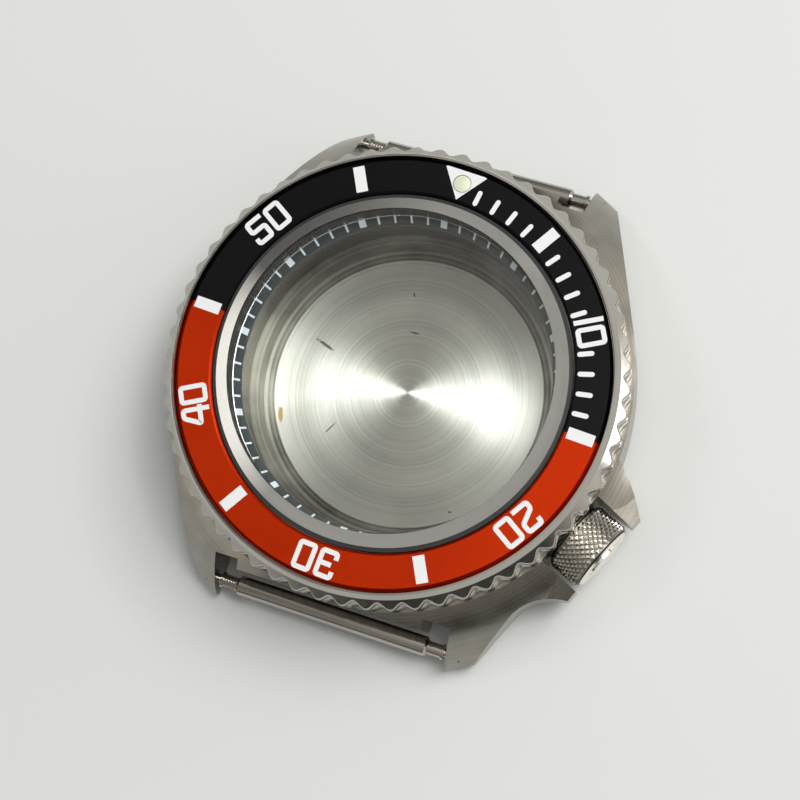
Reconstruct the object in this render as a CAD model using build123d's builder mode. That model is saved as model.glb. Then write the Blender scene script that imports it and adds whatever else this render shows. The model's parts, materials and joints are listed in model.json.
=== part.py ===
from build123d import *

import os
from math import acos, atan2, cos, hypot, pi, radians, sin

# An empty diver's watch case in millimetres, resting on its back.
# The origin is the centre of the back's outer face, +Z points to the crystal, +Y to 12 and +X to 3 o'clock.

# Named clearances
running_gap = 0.05
seat_gap = 0.1
overrun = 1.0

# Bores inside the mid-case, from the dial outwards
dial_bore_radius = 14.3
ring_ledge_width = 0.7
crystal_overlap = 0.3
gasket_wall = 0.35
neck_wall = 1.55
neck_height = 3.0
dial_seat_height = 6.2
ring_bore_depth = 1.8

# Mid-case heights
back_drop = 1.6
case_height = 6.6
dome_start_gap = 0.8
dome_reach = 25.6
dome_drop = 7.0
dome_section_radius = 14.0
lug_foot_gap = 0.4
lug_foot_drop = 0.5

# Insert, adhesive and pip
insert_width = 3.25
insert_thickness = 0.6
insert_outer_bevel = 0.3
insert_inner_bevel = 0.2
adhesive_thickness = 0.1
pip_radius = 0.75
pip_inset = 1.55
pip_crown = 0.12

# Bezel
bezel_height = 4.0
bezel_float = 0.1
bezel_bore_gap = 0.155
bezel_floor_thickness = 0.3
bezel_floor_inset = 0.2
rim_width = 0.35
slope_width = 1.05
slope_drop = 1.05
tier_height = 0.95
tier_groove_height = 0.75
tier_groove_depth = 0.6
bezel_foot_bevel = 0.25
bezel_seat_inset = 0.85
scallop_count = 60
scallop_depth = 0.72
scallop_radius = 0.85
scallop_break = 0.2
ratchet_count = 120
ratchet_depth = 0.4
ratchet_inset = 0.645
ratchet_width = 1.2
ratchet_face_share = 0.88
bezel_clicks = -1

# Bezel gasket and its grooves
bezel_seal_radius = 0.36
bezel_seal_height = 1.3
seal_groove_depth = 0.42
seal_sides = 8

# Mid-case plan, measured from the bezel and from the strap
lug_gap = 22.0
lug_reach = 2.3
lug_tip_width = 2.3
lug_tip_rake = 1.2
case_shoulder = 0.15
flank_radius = 24.3
waist_y = 1.2
shelf_corner_width = 2.4
shelf_inset = 0.35
shelf_corner_inset = 1.25

# Crown and guards, along the crown's own axis
crown_angle = -23.75
crown_radius = 3.35
crown_length = 3.65
crown_end_width = 0.45
crown_lead_width = 0.25
crown_bevel = 0.55
crown_face_radius = 1.9
crown_face_depth = 0.12
recess_inset = 0.45
recess_side_gap = 0.3
guard_length = 3.65
guard_tip_width = 1.1
guard_shoulder_setback = 1.35
guard_shoulder_width = 2.1
guard_root_rise = 0.9
guard_root_width = 5.25
guard_slope = 0.74
guard_side_slope = 0.3
guard_crease_inset = 0.34
guard_crease_drop = 0.3
guard_foot_inset = 1.4
guard_foot_rise = 1.3

# Knurl of the crown
knurl_count = 36
knurl_rows = 10
knurl_depth = 0.2

# Crown tube, pipe, post and their small pieces
tube_radius = 1.8
tube_wall = 0.4
tube_seat_depth = 3.9
tube_end_gap = 0.5
pipe_wall = 0.3
pipe_length = 4.7
cap_end_wall = 0.65
post_radius = 0.75
post_inner_gap = 0.7
post_head_overlap = 0.25
post_head_length = 0.35
post_room = 1.85
stem_hole_radius = 0.45
stem_hole_depth = 2.4
retainer_length = 0.35
crown_seal_radius = 0.08
crown_seal_inset = 1.0
coil_wire_radius = 0.1

# Click spring and its pocket
spring_pocket_depth = 1.0
spring_pocket_angle = 46.0
spring_pocket_start = 20.0
spring_blade = 0.25
spring_tip_angle = 1.2

# Crystal and its gasket
crystal_thickness = 2.9
crystal_bevel_width = 1.1
crystal_bevel_drop = 0.6
gasket_foot_thickness = 0.4
gasket_foot_inset = 0.28
gasket_stand = 0.85

# Chapter ring
chapter_width = 1.2
chapter_inner_height = 0.5
chapter_rest_width = 0.25
chapter_step_share = 0.3
chapter_step_width = 0.12

# Case back
back_ledge_width = 1.35
back_thread_depth = 1.8
back_groove_width = 0.85
back_groove_depth = 0.5
back_flange_width = 1.55
back_plate_thickness = back_drop
back_inner_depth = 0.6
back_edge_width = 2.4
back_edge_height = 0.6
back_ring_wall = 2.2
back_rim_width = 1.2
back_rim_height = 0.25
back_notch_count = 6
back_notch_width = 3.0
back_notch_length = 1.5
back_notch_depth = 0.9

# Spring bars
bar_inset = 1.45
bar_height = 2.9
bar_radius = 0.9
bar_end_room = 1.9
bar_wall = 0.16
bar_end_bevel = 0.22
bar_lip_length = 0.45
bar_lip_overhang = 0.09
plunger_neck_gap = 0.04
plunger_head_length = 1.0
plunger_flange_rise = 0.13
plunger_flange_room = 0.6
plunger_flange_width = 0.25
plunger_tip_radius = 0.4
plunger_tip_depth = 0.75
plunger_tip_bevel = 0.12
plunger_ring_count = 4
plunger_ring_depth = 0.12
bar_hole_room = 0.35
bar_coil_gap = 0.09

# Radii from the dial bore out to the case's edge
ring_bore_radius = dial_bore_radius + ring_ledge_width
crystal_radius = ring_bore_radius + crystal_overlap
neck_inner_radius = crystal_radius + gasket_wall
neck_radius = neck_inner_radius + neck_wall
insert_inner_radius = neck_inner_radius + seat_gap
insert_outer_radius = insert_inner_radius + insert_width
insert_seat_radius = insert_outer_radius + running_gap
rim_radius = insert_seat_radius + rim_width
bezel_radius = rim_radius + slope_width
bezel_bore_radius = neck_radius + bezel_bore_gap
bezel_floor_radius = insert_inner_radius + bezel_floor_inset
bezel_seat_radius = bezel_radius - bezel_seat_inset
pip_centre_radius = insert_outer_radius - pip_inset
scallop_centre = bezel_radius - scallop_depth + scallop_radius
ratchet_inner_radius = bezel_bore_radius + ratchet_inset
gasket_foot_inner_radius = ring_bore_radius - gasket_foot_inset
chapter_outer = ring_bore_radius - running_gap
chapter_inner_radius = chapter_outer - chapter_width
back_thread_radius = dial_bore_radius + back_ledge_width
back_ring_radius = back_thread_radius - running_gap
back_radius = back_thread_radius + back_flange_width
back_ring_inner_radius = back_ring_radius - back_ring_wall
back_rim_inner_radius = back_ring_inner_radius - back_rim_width
back_flat_radius = back_radius - back_edge_width

# Heights worked out from the stack
seat_z = back_drop + case_height
neck_top_z = seat_z + neck_height
ring_seat_z = back_drop + dial_seat_height
ring_top_z = ring_seat_z + ring_bore_depth
crystal_z = ring_top_z + gasket_foot_thickness
crystal_top_z = crystal_z + crystal_thickness
bezel_z = seat_z + bezel_float
bezel_top_z = bezel_z + bezel_height
insert_z = bezel_top_z - insert_thickness
bezel_floor_z = insert_z - adhesive_thickness
back_thread_top_z = back_drop + back_thread_depth
seal_z = seat_z + bezel_seal_height
crown_height = back_drop + case_height / 2
bezel_turn = bezel_clicks * 360 / ratchet_count

# Plan of the lugs, the shelves between them and the spring bars
half_width = bezel_radius + case_shoulder
lug_inner = lug_gap / 2
dome_start_radius = bezel_seat_radius + dome_start_gap
lug_outer = lug_inner + lug_tip_width
lug_tip_y = bezel_radius + lug_reach
lug_corner_y = lug_tip_y - lug_tip_rake
lug_foot_start = back_radius + lug_foot_gap
shelf_half_width = lug_inner - shelf_corner_width
shelf_reach = bezel_radius - shelf_inset
shelf_corner_reach = bezel_radius - shelf_corner_inset
bar_place = lug_tip_y - bar_inset
bar_half_length = lug_inner - bar_end_room
bar_bore_radius = bar_radius - bar_wall
bar_lip_radius = bar_bore_radius - bar_lip_overhang
plunger_head_radius = bar_bore_radius - running_gap / 2
plunger_neck_radius = bar_lip_radius - plunger_neck_gap
plunger_flange_radius = plunger_neck_radius + plunger_flange_rise
plunger_flange_place = lug_inner - plunger_flange_room
plunger_tip_reach = lug_inner + plunger_tip_depth
bar_hole_radius = plunger_tip_radius + running_gap
bar_hole_depth = plunger_tip_depth + bar_hole_room
bar_coil_radius = plunger_head_radius - bar_coil_gap - coil_wire_radius

# Places along the crown's axis
recess_floor = bezel_radius - recess_inset
recess_half_width = crown_radius + recess_side_gap
guard_reach = recess_floor + guard_length
guard_tip_side = recess_half_width + guard_tip_width
guard_shoulder = guard_reach - guard_shoulder_setback
guard_shoulder_side = recess_half_width + guard_shoulder_width
guard_root = recess_floor + guard_root_rise
guard_root_side = recess_half_width + guard_root_width
guard_crease_reach = recess_floor + guard_crease_inset
guard_crease_z = seat_z - guard_crease_drop
guard_foot_start = recess_floor + guard_foot_inset
crown_start = recess_floor + seat_gap
crown_end = crown_start + crown_length
cap_wall_z = crown_end - cap_end_wall
tube_inner_end = recess_floor - tube_seat_depth
tube_reach = cap_wall_z - tube_end_gap
tube_bore_radius = tube_radius - tube_wall
cap_bore_radius = tube_radius + running_gap
pipe_radius = tube_bore_radius - running_gap
pipe_bore_radius = pipe_radius - pipe_wall
pipe_inner_end = cap_wall_z - pipe_length
post_inner_end = dial_bore_radius + post_inner_gap
post_head_start = pipe_inner_end + retainer_length + post_room
post_head_radius = post_radius + post_head_overlap
crown_seal_place = pipe_inner_end + crown_seal_inset
crown_seal_centre = tube_bore_radius - crown_seal_radius - running_gap / 2


def crown_point(reach, side, height=0.0):
    """A point given along and across the crown's axis, in the watch's own frame."""
    angle = radians(crown_angle)
    return (
        reach * cos(angle) - side * sin(angle),
        reach * sin(angle) + side * cos(angle),
        height,
    )


# Plane whose X runs out along the crown and whose Y points up, for the crown's turned profiles
crown_side = Plane(
    origin=(0, 0, crown_height),
    x_dir=crown_point(1, 0),
    z_dir=crown_point(0, -1),
)
crown_axis = Axis(origin=(0, 0, crown_height), direction=crown_point(1, 0))


def bar_side(side):
    """Plane of a spring bar's turned profiles, X along the bar and Y up."""
    return Plane(origin=(0, side * bar_place, bar_height), x_dir=(1, 0, 0), z_dir=(0, -1, 0))


def bar_axis(side):
    """Axis of a spring bar, running to 3 o'clock."""
    return Axis(origin=(0, side * bar_place, bar_height), direction=(1, 0, 0))


def finish_piece(piece, name):
    """Label a finished piece and write it as its own file."""
    piece.part.label = name
    export_step(piece.part, f"parts/{name}.step")


os.makedirs("parts", exist_ok=True)


# Mid-case

# The flank is a line from the lug's corner that runs tangent into the arc of the waist
waist_centre_x = half_width - flank_radius
corner_reach = hypot(lug_outer - waist_centre_x, lug_corner_y)
corner_angle = atan2(lug_corner_y, lug_outer - waist_centre_x)
flank_angle = corner_angle - acos(flank_radius / corner_reach)
flank_x = waist_centre_x + flank_radius * cos(flank_angle)
flank_y = flank_radius * sin(flank_angle)
waist_x = waist_centre_x + (flank_radius**2 - waist_y**2) ** 0.5

upper_tip = crown_point(guard_reach, recess_half_width)[:2]
upper_tip_outer = crown_point(guard_reach, guard_tip_side)[:2]
upper_shoulder = crown_point(guard_shoulder, guard_shoulder_side)[:2]
lower_tip = crown_point(guard_reach, -recess_half_width)[:2]
lower_tip_outer = crown_point(guard_reach, -guard_tip_side)[:2]
lower_shoulder = crown_point(guard_shoulder, -guard_shoulder_side)[:2]
lower_root = crown_point(guard_root, -guard_root_side)[:2]
recess_top = crown_point(recess_floor, recess_half_width)[:2]
recess_bottom = crown_point(recess_floor, -recess_half_width)[:2]

# Space over the lugs under a turned dome, with the two guards' sloping facets left standing in it
with BuildPart() as dome_space:
    with BuildSketch(Plane.XZ):
        with BuildLine():
            RadiusArc((dome_start_radius, seat_z), (dome_reach, seat_z - dome_drop), dome_section_radius)
            Polyline(
                (dome_reach, seat_z - dome_drop),
                (dome_reach + overrun, seat_z - dome_drop),
                (dome_reach + overrun, seat_z + overrun),
                (dome_start_radius, seat_z + overrun),
                (dome_start_radius, seat_z),
            )
        make_face()
    revolve(axis=Axis.Z)
    for side in (1, -1):
        facet = Plane(
            origin=crown_point(guard_crease_reach, 0, guard_crease_z + guard_side_slope * recess_half_width),
            x_dir=crown_point(1, 0, -guard_slope),
            z_dir=crown_point(guard_slope, side * guard_side_slope, 1),
        )
        with BuildSketch(facet):
            with Locations((0, side * guard_root_side / 2)):
                Rectangle(guard_length * 4, guard_root_side)
        extrude(amount=-case_height, mode=Mode.SUBTRACT)


with BuildPart() as mid_case:
    # Plan of the case with its lugs and guards
    with BuildSketch(Plane.XY.offset(back_drop - lug_foot_drop)):
        with BuildLine():
            # Right flank from the 12 o'clock lug down to the waist
            Line((lug_inner, lug_tip_y), (lug_outer, lug_corner_y))
            Line((lug_outer, lug_corner_y), (flank_x, flank_y))
            ThreePointArc((flank_x, flank_y), (half_width, 0), (waist_x, -waist_y))
            # Guards and the recess between them
            ThreePointArc((waist_x, -waist_y), upper_shoulder, upper_tip_outer)
            Line(upper_tip_outer, upper_tip)
            Line(upper_tip, recess_top)
            Line(recess_top, recess_bottom)
            Line(recess_bottom, lower_tip)
            Line(lower_tip, lower_tip_outer)
            ThreePointArc(lower_tip_outer, lower_shoulder, lower_root)
            Line(lower_root, (lug_outer, -lug_corner_y))
            Line((lug_outer, -lug_corner_y), (lug_inner, -lug_tip_y))
            # Lug faces and the shelf at 6 o'clock
            Polyline(
                (lug_inner, -lug_tip_y),
                (lug_inner, -shelf_corner_reach),
                (shelf_half_width, -shelf_corner_reach),
                (shelf_half_width, -shelf_reach),
                (-shelf_half_width, -shelf_reach),
                (-shelf_half_width, -shelf_corner_reach),
                (-lug_inner, -shelf_corner_reach),
                (-lug_inner, -lug_tip_y),
                (-lug_outer, -lug_corner_y),
                (-flank_x, -flank_y),
            )
            # Left flank, plain
            ThreePointArc((-flank_x, -flank_y), (-half_width, 0), (-flank_x, flank_y))
            Polyline(
                (-flank_x, flank_y),
                (-lug_outer, lug_corner_y),
                (-lug_inner, lug_tip_y),
                (-lug_inner, shelf_corner_reach),
                (-shelf_half_width, shelf_corner_reach),
                (-shelf_half_width, shelf_reach),
                (shelf_half_width, shelf_reach),
                (shelf_half_width, shelf_corner_reach),
                (lug_inner, shelf_corner_reach),
                (lug_inner, lug_tip_y),
            )
        make_face()
    extrude(amount=case_height + lug_foot_drop)

    # Side view: the lugs' feet reach a little below the flat underside
    with BuildSketch(Plane.YZ.offset(-guard_reach)):
        for side in (1, -1):
            with BuildLine():
                Polyline(
                    (side * lug_tip_y, back_drop - lug_foot_drop),
                    (side * lug_foot_start, back_drop),
                    (0, back_drop),
                    (0, back_drop - lug_foot_drop),
                    close=True,
                )
            make_face()
    extrude(amount=guard_reach * 2, mode=Mode.SUBTRACT)

    # Facets under the guards
    with BuildSketch(crown_side.offset(-guard_root_side)):
        foot_z = back_drop - crown_height
        with BuildLine():
            Polyline(
                (guard_foot_start, foot_z),
                (guard_reach, foot_z + guard_foot_rise),
                (guard_reach + overrun, foot_z + guard_foot_rise),
                (guard_reach + overrun, foot_z - overrun),
                (guard_foot_start, foot_z - overrun),
                close=True,
            )
        make_face()
    extrude(amount=guard_root_side * 2, mode=Mode.SUBTRACT)

    # Domed top, crisp where it meets the walls
    add(dome_space.part, mode=Mode.SUBTRACT)

    # Flat seat under the bezel, and the neck for the crystal and the bezel
    with BuildSketch(Plane.XY.offset(back_drop)):
        Circle(bezel_seat_radius)
    extrude(amount=case_height)
    with BuildSketch(Plane.XY.offset(seat_z)):
        Circle(neck_radius)
    extrude(amount=neck_height)

    # Bores from the back thread up to the crystal seat
    with BuildSketch(Plane.XZ):
        with BuildLine():
            Polyline(
                (0, back_drop - overrun),
                (back_thread_radius + back_groove_width, back_drop - overrun),
                (back_thread_radius + back_groove_width, back_drop + back_groove_depth),
                (back_thread_radius, back_drop + back_groove_depth),
                (back_thread_radius, back_thread_top_z),
                (dial_bore_radius, back_thread_top_z),
                (dial_bore_radius, ring_seat_z),
                (ring_bore_radius, ring_seat_z),
                (ring_bore_radius, ring_top_z),
                (neck_inner_radius, ring_top_z),
                (neck_inner_radius, neck_top_z + overrun),
                (0, neck_top_z + overrun),
                close=True,
            )
        make_face()
        # Groove round the neck for the bezel gasket
        with Locations((neck_radius, seal_z)):
            Rectangle(seal_groove_depth * 2, (bezel_seal_radius + running_gap) * 2)
    revolve(axis=Axis.Z, mode=Mode.SUBTRACT)

    # Pocket for the click spring
    with BuildSketch(Plane.XY.offset(seat_z - spring_pocket_depth)):
        with BuildLine():
            pocket_outer = CenterArc(
                (0, 0), ratchet_inner_radius + ratchet_width, spring_pocket_start, spring_pocket_angle
            )
            pocket_inner = CenterArc((0, 0), ratchet_inner_radius, spring_pocket_start, spring_pocket_angle)
            Line(pocket_outer @ 0, pocket_inner @ 0)
            Line(pocket_outer @ 1, pocket_inner @ 1)
        make_face()
    extrude(amount=spring_pocket_depth + seat_gap, mode=Mode.SUBTRACT)

    # Crown tube's hole with its inner shoulder
    with BuildSketch(crown_side):
        with BuildLine():
            Polyline(
                (dial_bore_radius - overrun, 0),
                (dial_bore_radius - overrun, tube_bore_radius),
                (tube_inner_end, tube_bore_radius),
                (tube_inner_end, tube_radius),
                (recess_floor + overrun, tube_radius),
                (recess_floor + overrun, 0),
                close=True,
            )
        make_face()
    revolve(axis=crown_axis, mode=Mode.SUBTRACT)

    # Blind holes in the lugs for the spring bars
    for side in (1, -1):
        with BuildSketch(Plane.YZ.offset(-lug_inner - bar_hole_depth)):
            with Locations((side * bar_place, bar_height)):
                Circle(bar_hole_radius)
        extrude(amount=(lug_inner + bar_hole_depth) * 2, mode=Mode.SUBTRACT)

finish_piece(mid_case, "mid_case")


# Case back
back_ring_top_z = back_thread_top_z - seat_gap
back_floor_z = back_plate_thickness - back_inner_depth

with BuildPart() as case_back:
    with BuildSketch(Plane.XZ):
        with BuildLine():
            Polyline(
                (0, 0),
                (back_flat_radius, 0),
                (back_radius, back_edge_height),
                (back_radius, back_plate_thickness),
                (back_ring_radius, back_plate_thickness),
                (back_ring_radius, back_ring_top_z),
                (back_ring_inner_radius, back_ring_top_z),
                (back_ring_inner_radius, back_floor_z + back_rim_height),
                (back_rim_inner_radius, back_floor_z + back_rim_height),
                (back_rim_inner_radius, back_floor_z),
                (0, back_floor_z),
                close=True,
            )
        make_face()
    revolve(axis=Axis.Z)
    # Notches for the wrench
    with BuildSketch(Plane.XY):
        with PolarLocations(back_radius, back_notch_count):
            Rectangle(back_notch_length * 2, back_notch_width)
    extrude(amount=back_notch_depth, mode=Mode.SUBTRACT)

finish_piece(case_back, "case_back")

with BuildPart() as case_back_gasket:
    with BuildSketch(Plane.XY.offset(back_drop)):
        Circle(back_thread_radius + back_groove_width - seat_gap)
        Circle(back_thread_radius + running_gap, mode=Mode.SUBTRACT)
    extrude(amount=back_groove_depth - running_gap)

finish_piece(case_back_gasket, "case_back_gasket")


# Bezel with its grip scallops in two tiers and the ratchet underneath
tier_top_z = bezel_top_z - slope_drop
groove_top_z = tier_top_z - tier_height
groove_mid_z = groove_top_z - tier_groove_height / 2
groove_low_z = groove_top_z - tier_groove_height

with BuildPart() as bezel:
    with BuildSketch(Plane.XZ):
        with BuildLine():
            Polyline(
                (bezel_bore_radius, bezel_z),
                (bezel_radius - bezel_foot_bevel, bezel_z),
                (bezel_radius, bezel_z + bezel_foot_bevel),
                (bezel_radius, groove_low_z),
                (bezel_radius - tier_groove_depth, groove_mid_z),
                (bezel_radius, groove_top_z),
                (bezel_radius, tier_top_z),
                (rim_radius, bezel_top_z),
                (insert_seat_radius, bezel_top_z),
                (insert_seat_radius, bezel_floor_z),
                (bezel_floor_radius, bezel_floor_z),
                (bezel_floor_radius, bezel_floor_z - bezel_floor_thickness),
                (bezel_bore_radius, bezel_floor_z - bezel_floor_thickness),
                close=True,
            )
        make_face()
        with Locations((bezel_bore_radius, seal_z)):
            Rectangle(
                seal_groove_depth * 2,
                (bezel_seal_radius + running_gap) * 2,
                mode=Mode.SUBTRACT,
            )
    revolve(axis=Axis.Z)
    # Grip scallops, with their peaks rounded
    with BuildSketch(Plane.XY.offset(bezel_z)) as grip_plan:
        Circle(bezel_radius)
        with PolarLocations(scallop_centre, scallop_count, start_angle=bezel_turn):
            Circle(scallop_radius, mode=Mode.SUBTRACT)
        fillet(grip_plan.vertices(), radius=scallop_break)
    extrude(amount=bezel_height, mode=Mode.INTERSECT)
    # Ratchet teeth, each with one steep and one sloping face
    ratchet_pitch = 2 * pi * ratchet_inner_radius / ratchet_count
    with BuildPart(mode=Mode.PRIVATE) as tooth_gap:
        with BuildSketch(Plane(origin=(ratchet_inner_radius, 0, bezel_z), x_dir=(0, 1, 0), z_dir=(1, 0, 0))):
            with BuildLine():
                Polyline(
                    (0, -overrun),
                    (0, ratchet_depth),
                    (ratchet_pitch * ratchet_face_share, 0),
                    (ratchet_pitch * ratchet_face_share, -overrun),
                    close=True,
                )
            make_face()
        extrude(amount=ratchet_width)
    with PolarLocations(0, ratchet_count, start_angle=bezel_turn):
        add(tooth_gap.part, mode=Mode.SUBTRACT)

finish_piece(bezel, "bezel")

with BuildPart() as bezel_gasket:
    with BuildSketch(Plane.XZ):
        with Locations(((neck_radius + bezel_bore_radius) / 2, seal_z)):
            RegularPolygon(bezel_seal_radius, seal_sides)
    revolve(axis=Axis.Z)

finish_piece(bezel_gasket, "bezel_gasket")


# Insert, its adhesive and the luminous pip
pip_angle = radians(90 + bezel_turn)
pip_x = pip_centre_radius * cos(pip_angle)
pip_y = pip_centre_radius * sin(pip_angle)

with BuildPart() as bezel_insert:
    with BuildSketch(Plane.XZ):
        with BuildLine():
            Polyline(
                (insert_inner_radius, insert_z),
                (insert_outer_radius, insert_z),
                (insert_outer_radius, bezel_top_z - insert_outer_bevel),
                (insert_outer_radius - insert_outer_bevel, bezel_top_z),
                (insert_inner_radius + insert_inner_bevel, bezel_top_z),
                (insert_inner_radius, bezel_top_z - insert_inner_bevel),
                close=True,
            )
        make_face()
    revolve(axis=Axis.Z)
    with BuildSketch(Plane.XY.offset(insert_z)):
        with Locations((pip_x, pip_y)):
            Circle(pip_radius + running_gap)
    extrude(amount=insert_thickness, mode=Mode.SUBTRACT)

finish_piece(bezel_insert, "bezel_insert")

with BuildPart() as insert_adhesive:
    with BuildSketch(Plane.XY.offset(bezel_floor_z)):
        Circle(insert_outer_radius)
        Circle(bezel_floor_radius, mode=Mode.SUBTRACT)
    extrude(amount=adhesive_thickness)

finish_piece(insert_adhesive, "insert_adhesive")

with BuildPart() as lume_pip:
    with BuildSketch(Plane.XZ.offset(-pip_y)):
        with BuildLine():
            Line((pip_x, insert_z), (pip_x + pip_radius, insert_z))
            Line((pip_x + pip_radius, insert_z), (pip_x + pip_radius, bezel_top_z))
            TangentArc(
                (pip_x, bezel_top_z + pip_crown),
                (pip_x + pip_radius, bezel_top_z),
                tangent=(1, 0),
            )
            Line((pip_x, bezel_top_z + pip_crown), (pip_x, insert_z))
        make_face()
    revolve(axis=Axis(origin=(pip_x, pip_y, 0), direction=(0, 0, 1)))

finish_piece(lume_pip, "lume_pip")


# Click spring: a curved leaf in its pocket that rises to one tooth gap of the ratchet
blade_inner = ratchet_inner_radius + seat_gap
blade_outer = ratchet_inner_radius + ratchet_width - seat_gap
blade_z = seat_z - spring_pocket_depth
tip_middle = (blade_inner + blade_outer) / 2
tip_angle = spring_pocket_start + spring_tip_angle * 2

with BuildPart() as click_spring:
    with BuildSketch(Plane.XY.offset(blade_z)):
        with BuildLine():
            blade_sweep = spring_pocket_angle - spring_tip_angle * 2
            outer_edge = CenterArc((0, 0), blade_outer, spring_pocket_start + spring_tip_angle, blade_sweep)
            inner_edge = CenterArc((0, 0), blade_inner, spring_pocket_start + spring_tip_angle, blade_sweep)
            Line(outer_edge @ 0, inner_edge @ 0)
            Line(outer_edge @ 1, inner_edge @ 1)
        make_face()
    extrude(amount=spring_blade)
    # Upturned tip
    with BuildSketch(Plane.XY.offset(blade_z)):
        with Locations((tip_middle * cos(radians(tip_angle)), tip_middle * sin(radians(tip_angle)))):
            Rectangle(blade_outer - blade_inner - seat_gap * 2, spring_blade, rotation=tip_angle)
    extrude(amount=spring_pocket_depth + bezel_float / 2)

finish_piece(click_spring, "click_spring")


# Crystal, gasket and chapter ring
with BuildPart() as crystal:
    with BuildSketch(Plane.XZ):
        with BuildLine():
            Polyline(
                (0, crystal_z),
                (crystal_radius, crystal_z),
                (crystal_radius, crystal_top_z - crystal_bevel_drop),
                (crystal_radius - crystal_bevel_width, crystal_top_z),
                (0, crystal_top_z),
                close=True,
            )
        make_face()
    revolve(axis=Axis.Z)

finish_piece(crystal, "crystal")

with BuildPart() as crystal_gasket:
    with BuildSketch(Plane.XZ):
        with BuildLine():
            Polyline(
                (gasket_foot_inner_radius, ring_top_z),
                (neck_inner_radius, ring_top_z),
                (neck_inner_radius, neck_top_z + gasket_stand),
                (crystal_radius, neck_top_z + gasket_stand),
                (crystal_radius, crystal_z),
                (gasket_foot_inner_radius, crystal_z),
                close=True,
            )
        make_face()
    revolve(axis=Axis.Z)

finish_piece(crystal_gasket, "crystal_gasket")

chapter_top_radius = chapter_outer - chapter_rest_width
chapter_low_z = ring_seat_z + chapter_inner_height
chapter_rise = ring_top_z - chapter_low_z
chapter_step_z = ring_top_z - chapter_rise * chapter_step_share
chapter_run = chapter_top_radius - chapter_inner_radius - chapter_step_width

with BuildPart() as chapter_ring:
    with BuildSketch(Plane.XZ):
        with BuildLine():
            step_radius = chapter_top_radius - chapter_run * chapter_step_share
            Polyline(
                (chapter_inner_radius, ring_seat_z),
                (chapter_outer, ring_seat_z),
                (chapter_outer, ring_top_z),
                (chapter_top_radius, ring_top_z),
                (step_radius, chapter_step_z),
                (step_radius - chapter_step_width, chapter_step_z),
                (chapter_inner_radius, chapter_low_z),
                close=True,
            )
        make_face()
    revolve(axis=Axis.Z)

finish_piece(chapter_ring, "chapter_ring")


# Crown tube, pressed into the mid-case
with BuildPart() as crown_tube:
    with BuildSketch(crown_side):
        with BuildLine():
            Polyline(
                (tube_inner_end, tube_bore_radius),
                (tube_inner_end, tube_radius),
                (tube_reach, tube_radius),
                (tube_reach, tube_bore_radius),
                close=True,
            )
        make_face()
    revolve(axis=crown_axis)

finish_piece(crown_tube, "crown_tube")


def knurl_ring_point(row, turn_share, radius, start, length):
    """A point of the knurl's grid, row by row along the crown and by share of a turn round it."""
    angle = 2 * pi * turn_share
    along = start + length * row / knurl_rows
    return crown_side.from_local_coords((along, radius * cos(angle), radius * sin(angle)))


def diamond_knurl(start, length, crest, valley):
    """A closed body whose side is a net of four-sided pyramids between crossing valleys."""
    faces = []
    for row in range(knurl_rows + 1):
        stagger = (row % 2) / 2
        at_end = row in (0, knurl_rows)
        for place in range(knurl_count):
            left = knurl_ring_point(row, (place + stagger) / knurl_count, valley, start, length)
            right = knurl_ring_point(row, (place + 1 + stagger) / knurl_count, valley, start, length)
            centre_share = (place + 0.5 + stagger) / knurl_count
            centre_radius = valley if at_end else crest
            centre = knurl_ring_point(row, centre_share, centre_radius, start, length)
            for step in (-1, 1):
                if 0 <= row + step <= knurl_rows:
                    apex = knurl_ring_point(row + step, centre_share, valley, start, length)
                    faces.append(Face(Wire.make_polygon([left, centre, apex])))
                    faces.append(Face(Wire.make_polygon([centre, right, apex])))
    for row in (0, knurl_rows):
        ring = [
            knurl_ring_point(row, place / (knurl_count * 2), valley, start, length)
            for place in range(knurl_count * 2)
        ]
        faces.append(Face(Wire.make_polygon(ring)))
    return Solid(Shell(faces))


# Crown cap: knurled shell, stepped end and the inner pipe that runs in the tube
knurl_start = crown_start + crown_lead_width
knurl_end = crown_end - crown_end_width
knurl_valley = crown_radius - knurl_depth
core_radius = knurl_valley * cos(pi / knurl_count)
cap_bevel_radius = crown_radius - crown_bevel

with BuildPart() as crown_cap:
    add(diamond_knurl(knurl_start, knurl_end - knurl_start, crown_radius, knurl_valley))
    with BuildSketch(crown_side):
        with BuildLine():
            Polyline(
                (crown_start, 0),
                (crown_start, knurl_valley - crown_lead_width),
                (knurl_start, core_radius),
                (knurl_end, core_radius),
                (crown_end - crown_face_depth, cap_bevel_radius),
                (crown_end - crown_face_depth, crown_face_radius),
                (crown_end, crown_face_radius),
                (crown_end, 0),
                close=True,
            )
        make_face()
    revolve(axis=crown_axis)
    # Thread space round the tube
    with BuildSketch(crown_side):
        with BuildLine():
            Polyline(
                (crown_start - overrun, 0),
                (crown_start - overrun, cap_bore_radius),
                (cap_wall_z, cap_bore_radius),
                (cap_wall_z, 0),
                close=True,
            )
        make_face()
    revolve(axis=crown_axis, mode=Mode.SUBTRACT)
    # Inner pipe with its seal groove
    with BuildSketch(crown_side):
        with BuildLine():
            Polyline(
                (pipe_inner_end, pipe_bore_radius),
                (pipe_inner_end, pipe_radius),
                (cap_wall_z, pipe_radius),
                (cap_wall_z, pipe_bore_radius),
                close=True,
            )
        make_face()
        with Locations((crown_seal_place, crown_seal_centre)):
            Rectangle(
                (crown_seal_radius + running_gap) * 2,
                (crown_seal_radius + running_gap) * 2,
                mode=Mode.SUBTRACT,
            )
    revolve(axis=crown_axis)

finish_piece(crown_cap, "crown_cap")

with BuildPart() as crown_gasket:
    with BuildSketch(crown_side):
        with Locations((crown_seal_place, crown_seal_centre)):
            RegularPolygon(crown_seal_radius, seal_sides)
    revolve(axis=crown_axis)

finish_piece(crown_gasket, "crown_gasket")

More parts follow.
